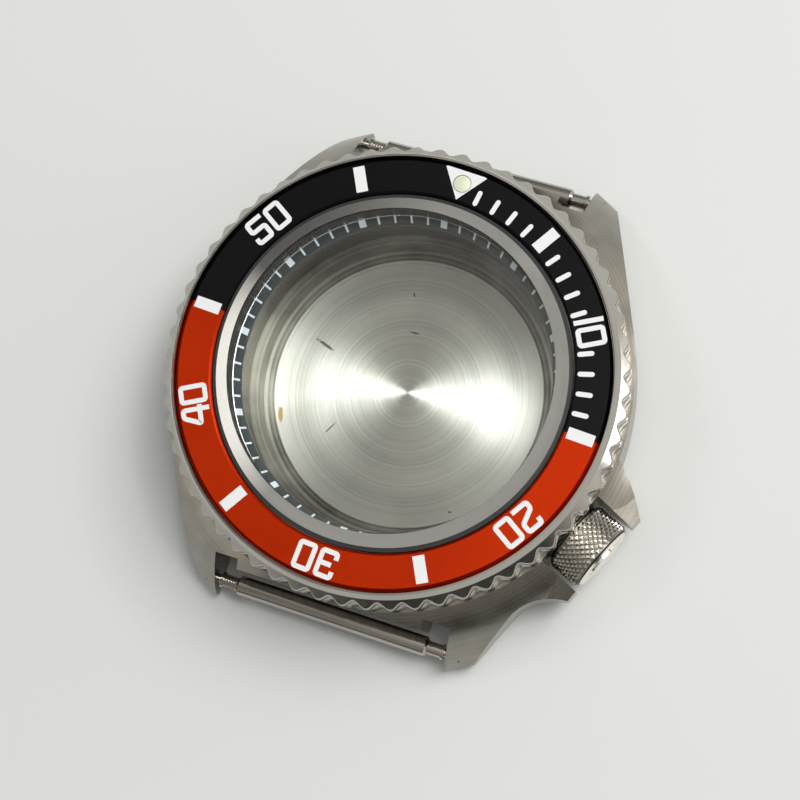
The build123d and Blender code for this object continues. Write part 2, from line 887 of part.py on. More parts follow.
with BuildPart() as crown_retainer:
    with BuildSketch(crown_side):
        with BuildLine():
            Polyline(
                (pipe_inner_end, post_radius + running_gap),
                (pipe_inner_end, pipe_bore_radius),
                (pipe_inner_end + retainer_length, pipe_bore_radius),
                (pipe_inner_end + retainer_length, post_radius + running_gap),
                close=True,
            )
        make_face()
    revolve(axis=crown_axis)

finish_piece(crown_retainer, "crown_retainer")

with BuildPart() as crown_post:
    with BuildSketch(crown_side):
        with BuildLine():
            Polyline(
                (post_inner_end, stem_hole_radius),
                (post_inner_end, post_radius),
                (post_head_start, post_radius),
                (post_head_start, post_head_radius),
                (post_head_start + post_head_length, post_head_radius),
                (post_head_start + post_head_length, 0),
                (post_inner_end + stem_hole_depth, 0),
                (post_inner_end + stem_hole_depth, stem_hole_radius),
                close=True,
            )
        make_face()
    revolve(axis=crown_axis)

finish_piece(crown_post, "crown_post")

# Coil between the post's head and the crown, as the sleeve that its wire fills
coil_start = post_head_start + post_head_length + running_gap
coil_radius = pipe_bore_radius - running_gap

with BuildPart() as crown_spring:
    with BuildSketch(crown_side):
        with BuildLine():
            Polyline(
                (coil_start, coil_radius - coil_wire_radius * 2),
                (coil_start, coil_radius),
                (cap_wall_z - running_gap, coil_radius),
                (cap_wall_z - running_gap, coil_radius - coil_wire_radius * 2),
                close=True,
            )
        make_face()
    revolve(axis=crown_axis)

finish_piece(crown_spring, "crown_spring")


def spring_bar(name, side, left_is_ribbed):
    """The four pieces of one spring bar: tube, two plungers and the coil between them."""
    with BuildPart() as tube:
        with BuildSketch(bar_side(side)):
            with BuildLine():
                Polyline(
                    (0, bar_bore_radius),
                    (0, bar_radius),
                    (bar_half_length - bar_end_bevel, bar_radius),
                    (bar_half_length, bar_radius - bar_end_bevel),
                    (bar_half_length, bar_lip_radius),
                    (bar_half_length - bar_lip_length, bar_lip_radius),
                    (bar_half_length - bar_lip_length, bar_bore_radius),
                    close=True,
                )
            make_face()
            mirror(about=Plane.YZ)
        revolve(axis=bar_axis(side))
    finish_piece(tube, f"{name}_tube")

    for hand, end in (("left", -1), ("right", 1)):
        ribbed = left_is_ribbed and end < 0
        head_end = bar_half_length - bar_lip_length - running_gap
        head_start = head_end - plunger_head_length
        with BuildPart() as plunger:
            with BuildSketch(bar_side(side)) as profile:
                with BuildLine():
                    Polyline(
                        (end * head_start, 0),
                        (end * head_start, plunger_head_radius),
                        (end * head_end, plunger_head_radius),
                        (end * head_end, plunger_neck_radius),
                        (end * plunger_flange_place, plunger_neck_radius),
                        (end * plunger_flange_place, plunger_flange_radius),
                        (end * (plunger_flange_place + plunger_flange_width), plunger_flange_radius),
                        (end * (plunger_flange_place + plunger_flange_width), plunger_tip_radius),
                        (end * (plunger_tip_reach - plunger_tip_bevel), plunger_tip_radius),
                        (end * plunger_tip_reach, plunger_tip_radius - plunger_tip_bevel),
                        (end * plunger_tip_reach, 0),
                        close=True,
                    )
                make_face()
                if ribbed:
                    # Rings turned into the neck, four where a strap tool grips
                    neck_length = plunger_flange_place - bar_half_length
                    ring_pitch = neck_length / (plunger_ring_count + 1)
                    for ring in range(plunger_ring_count):
                        place = bar_half_length + ring_pitch * (ring + 1)
                        with Locations((end * place, plunger_neck_radius)):
                            Rectangle(ring_pitch / 2, plunger_ring_depth * 2, mode=Mode.SUBTRACT)
            revolve(axis=bar_axis(side))
        finish_piece(plunger, f"{name}_plunger_{hand}")

    spring_end = bar_half_length - bar_lip_length - running_gap - plunger_head_length - running_gap
    with BuildPart() as coil:
        with BuildSketch(bar_side(side)):
            with Locations((0, bar_coil_radius)):
                Rectangle(spring_end * 2, coil_wire_radius * 2)
        revolve(axis=bar_axis(side))
    finish_piece(coil, f"{name}_spring")


spring_bar("bar_12", 1, left_is_ribbed=True)
spring_bar("bar_6", -1, left_is_ribbed=True)
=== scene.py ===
import json
import math

import bmesh
import bpy
import numpy as np
from mathutils import Matrix, Vector


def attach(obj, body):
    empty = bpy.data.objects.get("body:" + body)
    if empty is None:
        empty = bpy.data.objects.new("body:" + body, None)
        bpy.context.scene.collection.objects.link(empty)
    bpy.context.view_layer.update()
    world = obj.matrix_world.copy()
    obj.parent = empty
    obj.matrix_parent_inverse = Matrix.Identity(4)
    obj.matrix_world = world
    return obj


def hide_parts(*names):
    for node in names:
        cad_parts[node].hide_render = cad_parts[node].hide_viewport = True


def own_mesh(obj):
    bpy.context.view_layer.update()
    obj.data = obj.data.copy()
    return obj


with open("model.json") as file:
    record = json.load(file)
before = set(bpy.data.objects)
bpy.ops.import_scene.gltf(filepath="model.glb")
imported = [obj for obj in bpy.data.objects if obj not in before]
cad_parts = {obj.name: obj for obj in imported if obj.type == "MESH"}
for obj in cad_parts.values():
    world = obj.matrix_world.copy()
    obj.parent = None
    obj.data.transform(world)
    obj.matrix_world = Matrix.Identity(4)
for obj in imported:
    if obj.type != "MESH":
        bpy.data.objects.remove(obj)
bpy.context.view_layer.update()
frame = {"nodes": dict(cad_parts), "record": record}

# The looks of an empty diver's watch case. Sizes are named in millimetres and reach Blender in
# metres, and angles are named in degrees.
MM = 0.001

# Printing on the bezel insert, which stands one click past 12 o'clock
insert_top = 12.3
insert_turn = -3.0
print_sink, print_rise = 0.005, 0.02
print_low, print_high = insert_top - print_sink, insert_top + print_rise
marker_inner, marker_outer, marker_width = 16.15, 18.5, 1.02
tick_inner, tick_outer, tick_width = 16.0, 17.45, 0.42
triangle_base, triangle_tip, triangle_width = 18.62, 15.95, 3.9
pip_centre, pip_hole = 17.45, 0.8
digit_height, digit_width, digit_gap = 2.55, 1.75, 0.28
digit_stroke, digit_corner, digit_centre = 0.42, 0.2, 17.35

# Points in a digit's corner, in a tick's round end and round the pip's hole
corner_points, tick_points, pip_points = 6, 7, 96

# Chapter ring: its two slopes, each from its foot to its head as (radius, height), the lines'
# widths and the span of each slope that they cover, and the round edge of the step between them
lower_slope = (13.75, 8.3), (14.331, 9.21)
upper_slope = (14.451, 9.21), (14.7, 9.6)
minute_line_width, five_minute_width = 0.19, 0.6
lower_mark, upper_mark = (0.2, 0.97), (0.03, 0.97)
step_edge = ((14.31, 9.19), (14.37, 9.19), (14.385, 9.225), (14.34, 9.245), (14.295, 9.225))

# Marks left on the inside of the case back, as (x, y, half length, half width, turn)
floor_height, mark_depth = 1.0, 0.3
glue_stain = (-10.75, -5.3, 1.0, 0.32, 112)
scratches = (
    (-1.1, 5.5, 0.75, 0.12, 3),
    (-8.8, 2.1, 1.3, 0.22, -19),
    (-5.9, -5.2, 0.9, 0.1, 62),
    (7.05, -9.3, 0.25, 0.16, 10),
    (-2.3, 8.9, 0.16, 0.3, 20),
)

# Where one colour gives way to the next: radii from the mid-case's bore (painted shade) to its top,
# from the back's floor to its threaded ring (painted shade) and at the crystal's bevel, and heights
# from unshaded to shaded steel
bore_end, top_start = 14.8, 15.0
floor_end, thread_start = 12.35, 12.5
unshaded_below, shaded_above = 1.05, 1.2
bevel_radius = 14.2

# Bezel: its section from the insert's seat over the rim and down the grip, as (radius, height),
# first through a tooth and then through a valley; the hidden rest of it is the same in both
rim_section = ((19.05, 11.6), (19.05, 12.3), (19.1, 12.42), (19.28, 12.42), (19.62, 11.78))
tooth_section = (
    *((20.36, 11.04), (20.45, 10.86), (20.45, 10.72), (20.36, 10.62), (20.45, 10.5)),
    *((20.45, 10.15), (20.2, 9.9), (20.45, 9.65), (20.45, 8.55), (20.2, 8.3)),
)
valley_section = (
    *((19.8, 11.6), (19.86, 11.43), (19.87, 11.28), (19.8, 11.18), (19.87, 11.05)),
    *((19.87, 10.15), (19.8, 9.9), (20.02, 9.65), (20.02, 8.55), (19.8, 8.3)),
)
bore_section = ((17.355, 8.3), (17.355, 11.3), (15.95, 11.3), (15.95, 11.6))
bezel_teeth, bezel_steps = 60, 1200

# Crown: its axis, and the knurl's radii; its plain ends begin a little inside the valleys
crown_bearing, crown_height = -23.75, 4.9
knurl_valley, knurl_crest, knurl_margin = 3.1, 3.26, 0.12

# Springs inside the strap bars: the bars' place and the travel of their plungers, and each spring's
# half length, radius, wire and turns in a half
bar_place, bar_height, bar_travel = 21.3, 2.9, 0.9
coil_half, coil_radius, coil_wire, coil_turns = 7.45, 0.525, 0.1, 18

# Room, with bearings counted from 3 o'clock toward 12 o'clock. Matt surfaces are lit weakest
# opposite the window and strongest toward it, and these are the strengths.
window_bearing = 37
shade_strength, window_strength = 0.22, 0.5

# The camera, metal and glass see pale walls to the right and left of the picture, each with its
# bearing, half angle and fade, dim walls between them, and a dim ceiling that is pale overhead
# toward the window. A fade goes over a span of the line of sight's height: where the pale walls
# end, where the ceiling starts and where its overhead part starts. The overhead part goes from its
# far to its near strength over a span of the line of sight's reach toward its own bearing.
pale_walls = ((28, 46, 16), (-160, 36, 14))
wall_end = (0.38, 0.5)
ceiling_start = (0.17, 0.32)
overhead_start = (0.72, 0.92)
dim_wall, dim_ceiling = 0.07, 0.32
overhead_bearing, overhead_reach = 8, (-0.33, -0.04)
overhead_far, overhead_near = 0.14, 0.85


def level_way(bearing):
    """The level direction at a bearing: its cosine along x and its sine along y."""
    return math.cos(math.radians(bearing)), math.sin(math.radians(bearing)), 0.0


# Materials


def linear(hex_colour):
    """An sRGB hex colour as the linear colour that a shader takes."""
    parts = [int(hex_colour[i : i + 2], 16) / 255 for i in (1, 3, 5)]
    return [c / 12.92 if c <= 0.04045 else ((c + 0.055) / 1.055) ** 2.4 for c in parts] + [1.0]


def add(tree, kind, inputs=None, **settings):
    """Adds a node with its settings; inputs, by name or number, are values or feeding sockets.

    Numbered inputs of a Map Range are 0 the value, 1 and 2 the range it comes from, 3 and 4 the
    range it goes to. Those of a Mix are 0 the share, 2 and 3 two numbers, 6 and 7 two colours.
    """
    node = tree.nodes.new(kind)
    for name, value in settings.items():
        setattr(node, name, value)
    for socket, value in (inputs or {}).items():
        if isinstance(value, bpy.types.NodeSocket):
            tree.links.new(value, node.inputs[socket])
        else:
            node.inputs[socket].default_value = value
    return node


def blank(name):
    """A new node material, its tree and its object coordinates."""
    material = bpy.data.materials.new(name)
    material.use_nodes = True
    tree = material.node_tree
    tree.nodes.clear()
    return material, tree, add(tree, "ShaderNodeTexCoord").outputs["Object"]


def from_axis(tree, place):
    """Distance from the watch's axis in millimetres: the length of the place without its height."""
    per_mm = (1 / MM, 1 / MM, 0)
    flat = add(tree, "ShaderNodeVectorMath", {0: place, 1: per_mm}, operation="MULTIPLY")
    length = add(tree, "ShaderNodeVectorMath", {0: flat.outputs[0]}, operation="LENGTH")
    return length.outputs["Value"]


def drawn_steel(name, light, dark, roughness, stroke_gap, stroke_length, depth):
    """Steel wire and strip drawn through a die: fine strokes along the watch soften highlights."""
    material, tree, place = blank(name)
    across, along = 1 / (stroke_gap * MM), 1 / (stroke_length * MM)
    strokes = add(tree, "ShaderNodeMapping", {"Vector": place, "Scale": (across, along, across)})
    grain = add(
        tree,
        "ShaderNodeTexNoise",
        {"Vector": strokes.outputs[0], "Scale": 1.0, "Detail": 2.0},
    ).outputs[0]
    # Handling marks, 4 mm across
    patches = add(
        tree,
        "ShaderNodeTexNoise",
        {"Vector": place, "Scale": 1 / (4 * MM), "Detail": 3.0},
    )
    mottle = add(tree, "ShaderNodeMath", {0: grain, 1: patches.outputs[0]}, operation="ADD")
    share = add(tree, "ShaderNodeMapRange", {0: mottle.outputs[0], 1: 0.6, 2: 1.4})
    colour = add(
        tree,
        "ShaderNodeMix",
        {0: share.outputs[0], 6: linear(dark), 7: linear(light)},
        data_type="RGBA",
    )
    spread = add(
        tree,
        "ShaderNodeMapRange",
        {0: grain, 1: 0.3, 2: 0.7, 3: roughness * 0.9, 4: roughness * 1.1},
    )
    relief = add(
        tree,
        "ShaderNodeBump",
        {"Height": grain, "Strength": 0.3, "Distance": depth * MM},
    )
    steel = add(
        tree,
        "ShaderNodeBsdfPrincipled",
        {
            "Base Color": colour.outputs[2],
            "Metallic": 1.0,
            "Roughness": spread.outputs[0],
            "Normal": relief.outputs[0],
        },
    )
    add(tree, "ShaderNodeOutputMaterial", {"Surface": steel.outputs[0]})
    return material


def round_brushed_steel(name, light, dark, bore_shade_colour, roughness):
    """Stainless steel brushed while it turns: fine arcs round the dial smear highlights out."""
    material, tree, place = blank(name)
    radius = from_axis(tree, place)
    # Strokes 0.08 mm apart on the real case, drawn 0.125 mm apart so that they show, that fade in
    # and out every 2.5 mm
    around = add(
        tree,
        "ShaderNodeTexNoise",
        {"Vector": place, "Scale": 1 / (2.5 * MM), "Detail": 1.0},
    )
    arcs = add(
        tree,
        "ShaderNodeTexNoise",
        {"W": radius, "Scale": 1 / 0.125, "Detail": 2.0},
        noise_dimensions="1D",
    )
    faded = add(
        tree,
        "ShaderNodeMath",
        {0: arcs.outputs[0], 1: around.outputs[0]},
        operation="ADD",
    ).outputs[0]
    share = add(tree, "ShaderNodeMapRange", {0: faded, 1: 0.6, 2: 1.4})
    brushed = add(
        tree,
        "ShaderNodeMix",
        {0: share.outputs[0], 6: linear(dark), 7: linear(light)},
        data_type="RGBA",
    )
    # The bore that holds the movement is painted darker: painted shade deep inside the case
    bore_shade = add(tree, "ShaderNodeMapRange", {0: radius, 1: bore_end, 2: top_start, 3: 1.0, 4: 0.0})
    colour = add(
        tree,
        "ShaderNodeMix",
        {0: bore_shade.outputs[0], 6: brushed.outputs[2], 7: linear(bore_shade_colour)},
        data_type="RGBA",
    )
    spread = add(
        tree,
        "ShaderNodeMapRange",
        {0: faded, 1: 0.7, 2: 1.3, 3: roughness * 0.88, 4: roughness * 1.12},
    )
    steel = add(
        tree,
        "ShaderNodeBsdfPrincipled",
        {"Base Color": colour.outputs[2], "Metallic": 1.0, "Roughness": spread.outputs[0]},
    )
    add(tree, "ShaderNodeOutputMaterial", {"Surface": steel.outputs[0]})
    return material


def turned_steel(name):
    """Stainless steel faced on a lathe: rings of fine cuts throw light out as two wedges."""
    material, tree, place = blank(name)
    radius = from_axis(tree, place)
    # Cuts 0.05 mm apart on the real plate, drawn 0.2 mm apart so that they show
    cuts = add(
        tree,
        "ShaderNodeTexNoise",
        {"W": radius, "Scale": 1 / 0.2, "Detail": 3.0},
        noise_dimensions="1D",
    )
    # Bands where the tool's feed changed, about 1.8 mm wide
    bands = add(
        tree,
        "ShaderNodeTexNoise",
        {"W": radius, "Scale": 0.55, "Detail": 1.0},
        noise_dimensions="1D",
    )
    # Smears of cutting oil, 6 mm across
    smears = add(
        tree,
        "ShaderNodeTexNoise",
        {"Vector": place, "Scale": 1 / (6 * MM), "Detail": 4.0},
    )
    both = add(tree, "ShaderNodeMath", {0: cuts.outputs[0], 1: bands.outputs[0]}, operation="ADD")
    tone = add(tree, "ShaderNodeMath", {0: both.outputs[0], 1: smears.outputs[0]}, operation="ADD")
    share = add(tree, "ShaderNodeMapRange", {0: tone.outputs[0], 1: 1.1, 2: 1.9})
    colour = add(
        tree,
        "ShaderNodeMix",
        {0: share.outputs[0], 6: linear("#a9a7a1"), 7: linear("#cdcbc5")},
        data_type="RGBA",
    ).outputs[2]
    # The threaded ring round the floor and its side are painted darker as painted shade deep in the
    # case, in bands 0.4 mm apart across it and three times as close up its side
    height = add(tree, "ShaderNodeSeparateXYZ", {0: place}).outputs["Z"]
    across = add(
        tree,
        "ShaderNodeMath",
        {0: height, 1: 3 / MM, 2: radius},
        operation="MULTIPLY_ADD",
    )
    rings = add(
        tree,
        "ShaderNodeTexNoise",
        {"W": across.outputs[0], "Scale": 1 / 0.4, "Detail": 3.0},
        noise_dimensions="1D",
    )
    smears_and_rings = add(
        tree,
        "ShaderNodeMath",
        {0: smears.outputs[0], 1: rings.outputs[0]},
        operation="ADD",
    )
    skin = add(tree, "ShaderNodeMapRange", {0: smears_and_rings.outputs[0], 1: 0.75, 2: 1.25})
    ring = add(tree, "ShaderNodeMapRange", {0: radius, 1: floor_end, 2: thread_start})
    wall_shade_share = add(
        tree,
        "ShaderNodeMapRange",
        {0: height, 1: unshaded_below * MM, 2: shaded_above * MM, 4: ring.outputs[0]},
    )
    shaded_wall_tone = add(
        tree,
        "ShaderNodeMix",
        {0: skin.outputs[0], 6: linear("#3a3631"), 7: linear("#a09c93")},
        data_type="RGBA",
    )
    # Painted shade: the walls round the floor take the darker banded tone above the floor's height
    colour = add(
        tree,
        "ShaderNodeMix",
        {0: wall_shade_share.outputs[0], 6: colour, 7: shaded_wall_tone.outputs[2]},
        data_type="RGBA",
    ).outputs[2]
    # Dark scuffs and a glue stain on the floor, none of them metal: each is a turned ellipse with
    # an edge torn by grains of 0.22 mm
    ragged = add(
        tree,
        "ShaderNodeTexNoise",
        {"Vector": place, "Scale": 1 / (0.22 * MM), "Detail": 4.0},
    ).outputs[0]
    marks = [(mark, "#4c4740") for mark in scratches] + [(glue_stain, "#a98445")]
    metal = 1.0
    for (x, y, half_length, half_width, turn), tint in marks:
        laid = add(
            tree,
            "ShaderNodeMapping",
            {
                "Vector": place,
                "Location": (x * MM, y * MM, floor_height * MM),
                "Rotation": (0, 0, math.radians(turn)),
                "Scale": (half_length * MM, half_width * MM, mark_depth * MM),
            },
            vector_type="TEXTURE",
        )
        reach = add(tree, "ShaderNodeVectorMath", {0: laid.outputs[0]}, operation="LENGTH")
        torn = add(
            tree,
            "ShaderNodeMath",
            {0: reach.outputs["Value"], 1: ragged},
            operation="ADD",
        )
        covers = add(
            tree,
            "ShaderNodeMapRange",
            {0: torn.outputs[0], 1: 1.05, 2: 1.3, 3: 1.0, 4: 0.0},
        ).outputs[0]
        colour = add(
            tree,
            "ShaderNodeMix",
            {0: covers, 6: colour, 7: linear(tint)},
            data_type="RGBA",
        ).outputs[2]
        metal = add(
            tree,
            "ShaderNodeMath",
            {0: metal, 1: covers},
            operation="SUBTRACT",
            use_clamp=True,
        ).outputs[0]
    spread = add(
        tree,
        "ShaderNodeMapRange",
        {0: cuts.outputs[0], 1: 0.3, 2: 0.7, 3: 0.32, 4: 0.42},
    )
    round_axis = add(tree, "ShaderNodeTangent", direction_type="RADIAL", axis="Z")
    steel = add(
        tree,
        "ShaderNodeBsdfPrincipled",
        {
            "Base Color": colour,
            "Metallic": metal,
            "Roughness": spread.outputs[0],
            "Anisotropic": 0.9,
            "Anisotropic Rotation": 0.25,
            "Tangent": round_axis.outputs[0],
        },
    )
    add(tree, "ShaderNodeOutputMaterial", {"Surface": steel.outputs[0]})
    return material


def polished_steel(name, colour_hex, roughness, haze):
    """Stainless steel buffed on a wheel: a near mirror with a faint haze of wiping marks."""
    material, tree, place = blank(name)
    # Wiping marks of 0.6 mm in patches of 4 mm
    marks = add(
        tree,
        "ShaderNodeTexNoise",
        {"Vector": place, "Scale": 1 / (0.6 * MM), "Detail": 5.0},
    )
    patches = add(
        tree,
        "ShaderNodeTexNoise",
        {"Vector": place, "Scale": 1 / (4 * MM), "Detail": 2.0},
    ).outputs[0]
    worn = add(tree, "ShaderNodeMath", {0: marks.outputs[0], 1: patches}, operation="MULTIPLY")
    spread = add(
        tree,
        "ShaderNodeMapRange",
        {0: worn.outputs[0], 1: 0.1, 2: 0.45, 3: roughness, 4: roughness + haze},
    )
    tone = add(tree, "ShaderNodeMapRange", {0: patches, 1: 0.3, 2: 0.7, 3: 0.92, 4: 1.0})
    colour = add(
        tree,
        "ShaderNodeMix",
        {0: tone.outputs[0], 6: linear("#000000"), 7: linear(colour_hex)},
        data_type="RGBA",
    )
    steel = add(
        tree,
        "ShaderNodeBsdfPrincipled",
        {"Base Color": colour.outputs[2], "Metallic": 1.0, "Roughness": spread.outputs[0]},
    )
    add(tree, "ShaderNodeOutputMaterial", {"Surface": steel.outputs[0]})
    return material


def knurled_steel(name):
    """Stainless steel rolled with a diamond knurl: bright crests over valleys painted dark as
    shade.
    """
    material, tree, place = blank(name)
    crown_along = level_way(crown_bearing)
    centred = add(
        tree,
        "ShaderNodeVectorMath",
        {0: place, 1: (0, 0, crown_height * MM)},
        operation="SUBTRACT",
    ).outputs[0]
    # Distance from the crown's axis: from a point to the foot of its perpendicular on the axis
    along = add(
        tree,
        "ShaderNodeVectorMath",
        {0: centred, 1: crown_along},
        operation="DOT_PRODUCT",
    )
    foot = add(
        tree,
        "ShaderNodeVectorMath",
        {0: crown_along, "Scale": along.outputs["Value"]},
        operation="SCALE",
    )
    away = add(
        tree,
        "ShaderNodeVectorMath",
        {0: centred, 1: foot.outputs[0]},
        operation="DISTANCE",
    ).outputs["Value"]
    # Painted shade: the steel darkens from the knurl's crests down into its valleys
    crest = add(tree, "ShaderNodeMapRange", {0: away, 1: knurl_valley * MM, 2: knurl_crest * MM})
    # Specks of dirt, 0.35 mm
    specks = add(
        tree,
        "ShaderNodeTexNoise",
        {"Vector": place, "Scale": 1 / (0.35 * MM), "Detail": 3.0},
    )
    uneven = add(
        tree,
        "ShaderNodeMapRange",
        {0: specks.outputs[0], 1: 0.3, 2: 0.7, 3: 0.75, 4: 1.15},
    )
    unshaded_and_clean = add(
        tree,
        "ShaderNodeMath",
        {0: crest.outputs[0], 1: uneven.outputs[0]},
        operation="MULTIPLY",
    )
    plain_end = (knurl_valley - knurl_margin) * MM
    inner = add(tree, "ShaderNodeMath", {0: away, 1: plain_end}, operation="LESS_THAN")
    share = add(
        tree,
        "ShaderNodeMath",
        {0: unshaded_and_clean.outputs[0], 1: inner.outputs[0]},
        operation="MAXIMUM",
    ).outputs[0]
    colour = add(
        tree,
        "ShaderNodeMix",
        {0: share, 6: linear("#3c372f"), 7: linear("#f6f2ea")},
        data_type="RGBA",
    )
    spread = add(tree, "ShaderNodeMapRange", {0: share, 1: 0.0, 2: 1.0, 3: 0.4, 4: 0.13})
    steel = add(
        tree,
        "ShaderNodeBsdfPrincipled",
        {"Base Color": colour.outputs[2], "Metallic": 1.0, "Roughness": spread.outputs[0]},
    )
    add(tree, "ShaderNodeOutputMaterial", {"Surface": steel.outputs[0]})
    return material


def anodised_aluminium(name):
    """Aluminium dyed black and orange under a thin satin oxide: deep colour with a metal sheen."""
    material, tree, place = blank(name)
    # The black half is the one on the side of the insert's own 12 o'clock
    half = add(
        tree,
        "ShaderNodeVectorMath",
        {0: place, 1: level_way(90 + insert_turn)},
        operation="DOT_PRODUCT",
    )
    is_black = add(
        tree,
        "ShaderNodeMath",
        {0: half.outputs["Value"], 1: 0.0},
        operation="GREATER_THAN",
    ).outputs[0]
    # Grain of the blasted blank, 0.12 mm, and clouds of the dye, 8 mm
    grain = add(
        tree,
        "ShaderNodeTexNoise",
        {"Vector": place, "Scale": 1 / (0.12 * MM), "Detail": 2.0},
    ).outputs[0]
    cloud = add(
        tree,
        "ShaderNodeTexNoise",
        {"Vector": place, "Scale": 1 / (8 * MM), "Detail": 2.0},
    ).outputs[0]
    black, orange = (
        add(
            tree,
            "ShaderNodeMix",
            {0: cloud, 6: linear(deep), 7: linear(pale)},
            data_type="RGBA",
        )
        for deep, pale in (("#0b0b0c", "#111215"), ("#a82400", "#b82e00"))
    )
    colour = add(
        tree,
        "ShaderNodeMix",
        {0: is_black, 6: orange.outputs[2], 7: black.outputs[2]},
        data_type="RGBA",
    )
    spread = add(tree, "ShaderNodeMapRange", {0: grain, 1: 0.3, 2: 0.7, 3: 0.34, 4: 0.48})
    gloss = add(tree, "ShaderNodeMapRange", {0: is_black, 3: 0.04, 4: 0.16})
    relief = add(
        tree,
        "ShaderNodeBump",
        {"Height": grain, "Strength": 0.25, "Distance": 0.01 * MM},
    )
    dyed = add(
        tree,
        "ShaderNodeBsdfPrincipled",
        {
            "Base Color": colour.outputs[2],
            "Metallic": 0.93,
            "Roughness": spread.outputs[0],
            "Coat Weight": gloss.outputs[0],
            "Coat Roughness": 0.16,
            "Normal": relief.outputs[0],
        },
    )
    add(tree, "ShaderNodeOutputMaterial", {"Surface": dyed.outputs[0]})
    return material


def soft_coat(name, light, dark, roughness, grain, depth, sheen=0.0, subsurface=0.0):
    """Rubber, nylon, paint or resin: a matt skin with the grain of its mould or its pigment."""
    material, tree, place = blank(name)
    pores = add(
        tree,
        "ShaderNodeTexNoise",
        {"Vector": place, "Scale": 1 / (grain * MM), "Detail": 3.0},
    ).outputs[0]
    colour = add(
        tree,
        "ShaderNodeMix",
        {0: pores, 6: linear(dark), 7: linear(light)},
        data_type="RGBA",
    )
    spread = add(
        tree,
        "ShaderNodeMapRange",
        {0: pores, 1: 0.3, 2: 0.7, 3: roughness * 0.85, 4: roughness * 1.15},
    )
    relief = add(
        tree,
        "ShaderNodeBump",
        {"Height": pores, "Strength": 0.4, "Distance": depth * MM},
    )
    skin = add(
        tree,
        "ShaderNodeBsdfPrincipled",
        {
            "Base Color": colour.outputs[2],
            "Roughness": spread.outputs[0],
            "Sheen Weight": sheen,
            "Subsurface Weight": subsurface,
            "Subsurface Scale": 0.3 * MM,
            "Normal": relief.outputs[0],
        },
    )
    add(tree, "ShaderNodeOutputMaterial", {"Surface": skin.outputs[0]})
    return material


def mineral_glass(name):
    """Hardened mineral glass: a clear window whose bevel mirrors the room like a silver ring."""
    material, tree, place = blank(name)
    radius = from_axis(tree, place)
    bevel = add(
        tree,
        "ShaderNodeMath",
        {0: radius, 1: bevel_radius},
        operation="GREATER_THAN",
    ).outputs[0]
    # Faint grinding streaks of 1 mm on the bevel
    streaks = add(tree, "ShaderNodeTexNoise", {"Vector": place, "Scale": 1 / MM, "Detail": 3.0})
    haze = add(
        tree,
        "ShaderNodeMapRange",
        {0: streaks.outputs[0], 1: 0.3, 2: 0.7, 3: 0.04, 4: 0.09},
    )
    spread = add(tree, "ShaderNodeMath", {0: haze.outputs[0], 1: bevel}, operation="MULTIPLY")
    silvered = add(tree, "ShaderNodeMath", {0: bevel, 1: 0.95}, operation="MULTIPLY")
    colour = add(
        tree,
        "ShaderNodeMix",
        {0: bevel, 6: linear("#fafdfb"), 7: linear("#f4f6f4")},
        data_type="RGBA",
    )
    glass = add(
        tree,
        "ShaderNodeBsdfPrincipled",
        {
            "Base Color": colour.outputs[2],
            "Metallic": silvered.outputs[0],
            "Roughness": spread.outputs[0],
            "IOR": 1.52,
            "Transmission Weight": 1.0,
        },
    )
    # Lamps reach the dial's place through the glass
    clear = add(tree, "ShaderNodeBsdfTransparent", {"Color": linear("#f4f8f5")})
    rays = add(tree, "ShaderNodeLightPath")
    both = add(
        tree,
        "ShaderNodeMixShader",
        {0: rays.outputs["Is Shadow Ray"], 1: glass.outputs[0], 2: clear.outputs[0]},
    )
    add(tree, "ShaderNodeOutputMaterial", {"Surface": both.outputs[0]})
    return material


# Each look: its name, its light and dark tones, its roughness, and the sizes of its pattern
looks = {
    # The brushed case's third tone is the painted shade of its bore
    "satin_steel": round_brushed_steel(
        "round brushed steel", "#a19d95", "#86827a", "#6f6a63", 0.24
    ),
    "turned_steel": turned_steel("turned steel"),
    "polished_steel": polished_steel("polished steel", "#b3b0a9", 0.1, 0.08),
    "knurled_steel": knurled_steel("knurled steel"),
    "spring_steel": drawn_steel("drawn spring steel", "#b9b9b8", "#9a9998", 0.28, 0.06, 0.8, 0.005),
    "bar_steel": polished_steel("polished bar steel", "#b4b0a9", 0.1, 0.08),
    "anodised_insert": anodised_aluminium("two-colour anodised aluminium"),
    "adhesive_film": soft_coat("acrylic adhesive film", "#d9d3bf", "#c6bea6", 0.6, 0.3, 0.01),
    "luminous_resin": soft_coat(
        "luminous resin", "#e6ead2", "#d6dcbc", 0.35, 0.2, 0.004, subsurface=0.3
    ),
    "black_rubber": soft_coat(
        "moulded nitrile rubber", "#1d1d1d", "#131313", 0.55, 0.08, 0.004, sheen=0.1
    ),
    "dark_nylon": soft_coat("moulded nylon", "#1a1a1b", "#101011", 0.42, 0.1, 0.004),
    "painted_ring": soft_coat("satin painted ring", "#303337", "#282b2e", 0.4, 0.09, 0.004),
    "mineral_glass": mineral_glass("hardened mineral glass"),
}
printing = soft_coat("white pad printing", "#f0f0ee", "#e2e2df", 0.5, 0.1, 0.002)
grey_printing = soft_coat("grey pad printing", "#cfd4da", "#bfc5cc", 0.5, 0.1, 0.002)

slots = {part["node"]: part["material_slot"] for part in frame["record"]["subparts"]}
for node_name, node_object in frame["nodes"].items():
    node_object.data.materials.clear()
    node_object.data.materials.append(looks[slots[node_name]])


# Shapes: each gives its points in millimetres and its faces


def prism(outline, low, high):
    """A flat outline of n points carried from one height to another: side quads and two caps."""
    outline = np.asarray(outline, float)
    n = len(outline)
    points = np.vstack([np.column_stack([outline, np.full(n, z)]) for z in (low, high)])
    i = np.arange(n)
    j = (i + 1) % n
    sides = np.column_stack([i, j, j + n, i + n]).tolist()
    return points, sides + [i[::-1].tolist(), (i + n).tolist()]


